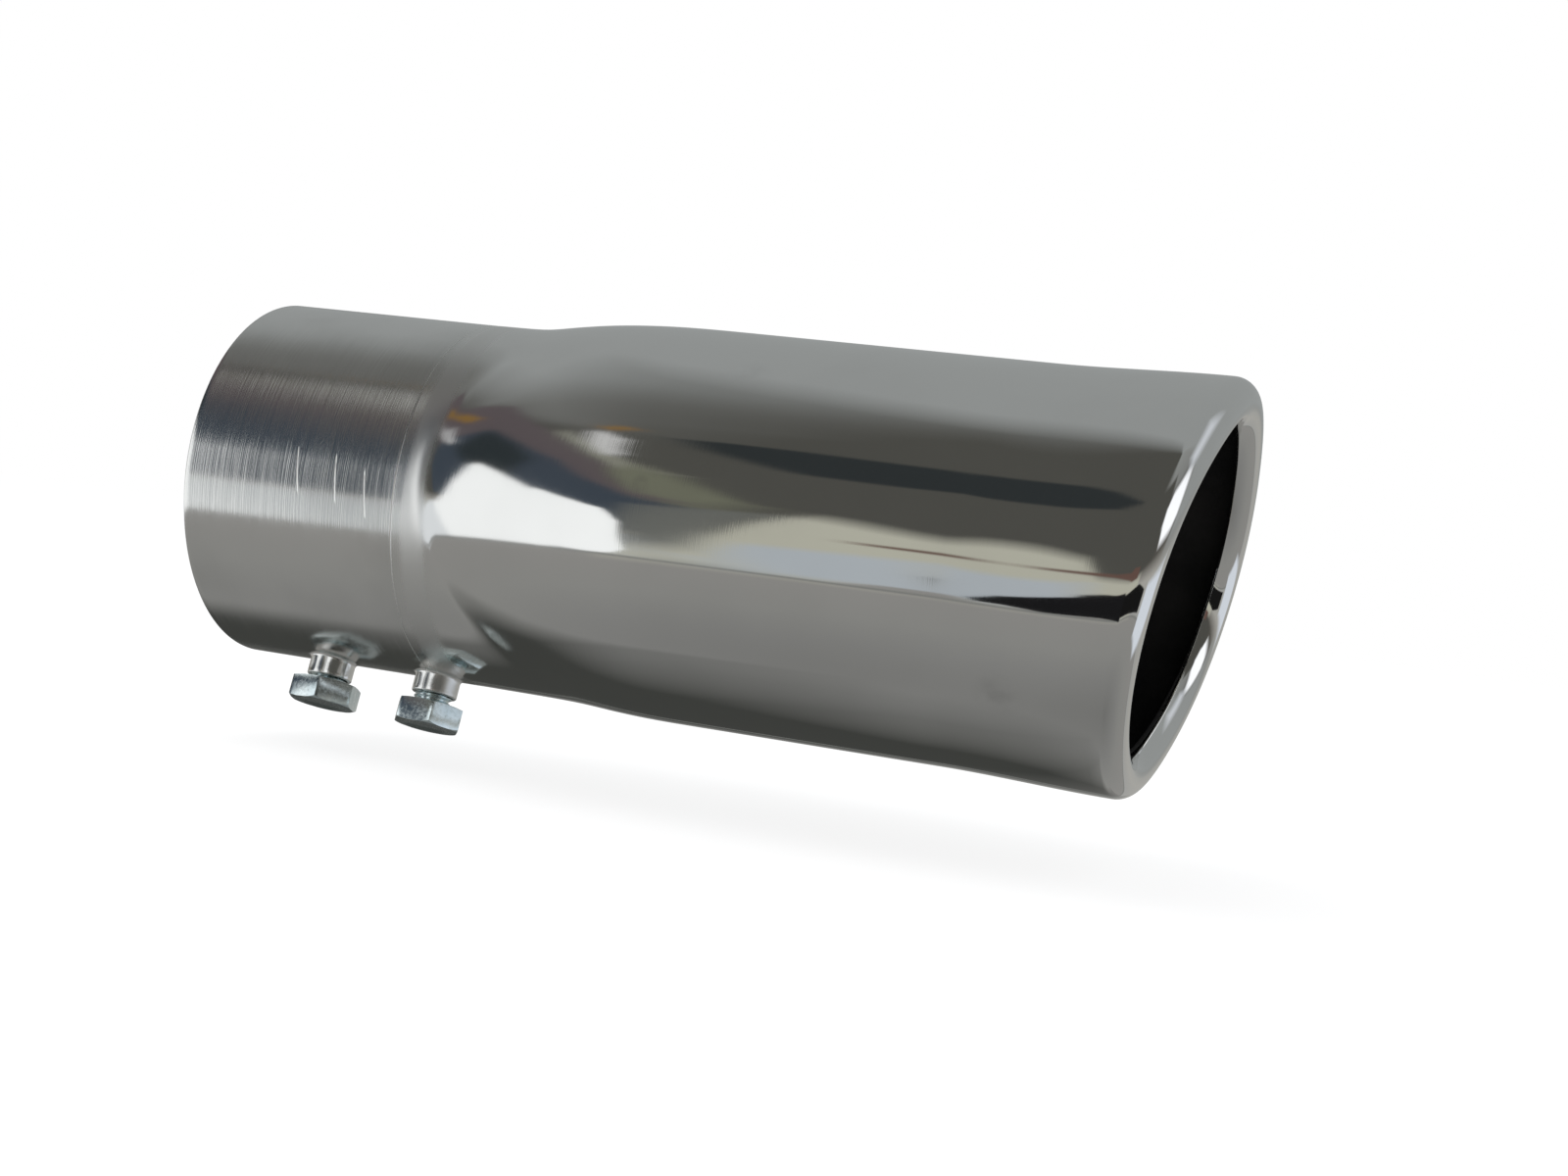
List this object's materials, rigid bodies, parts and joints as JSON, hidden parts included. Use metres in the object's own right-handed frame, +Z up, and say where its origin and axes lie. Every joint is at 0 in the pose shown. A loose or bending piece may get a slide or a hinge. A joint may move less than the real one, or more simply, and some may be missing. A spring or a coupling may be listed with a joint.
{
  "type": "exhaust tip",
  "caption": "Chromed exhaust tip: a round clamp-on socket swells into an oval chamber with a slanted, inward rolled mouth.",
  "frame": {"origin": "centre of the inlet's rim, on the socket's axis", "axes": "+X along the tube towards the mouth, +Z up through the long side of the slanted mouth, bolts on the underside"},
  "size_m": [0.2081, 0.0966, 0.0918],
  "materials": {
    "chrome_shell": "bright plated steel, faintly satin on the socket",
    "zinc_bolt": "bluish zinc plating, slightly rough"
  },
  "bodies": {
    "tip": {"tip_shell": "chrome_shell"},
    "front_bolt": {"front_clamp_bolt": "zinc_bolt"},
    "rear_bolt": {"rear_clamp_bolt": "zinc_bolt"}
  },
  "joints": [
    {"name": "front_bolt_travel", "type": "slide", "parent": "tip", "child": "front_bolt", "axis": [0, -0.2588, -0.9659], "range_m": [-0.00085, 0.0035]},
    {"name": "rear_bolt_travel", "type": "slide", "parent": "tip", "child": "rear_bolt", "axis": [0, -0.2588, -0.9659], "range_m": [-0.00195, 0.0025]}
  ]
}
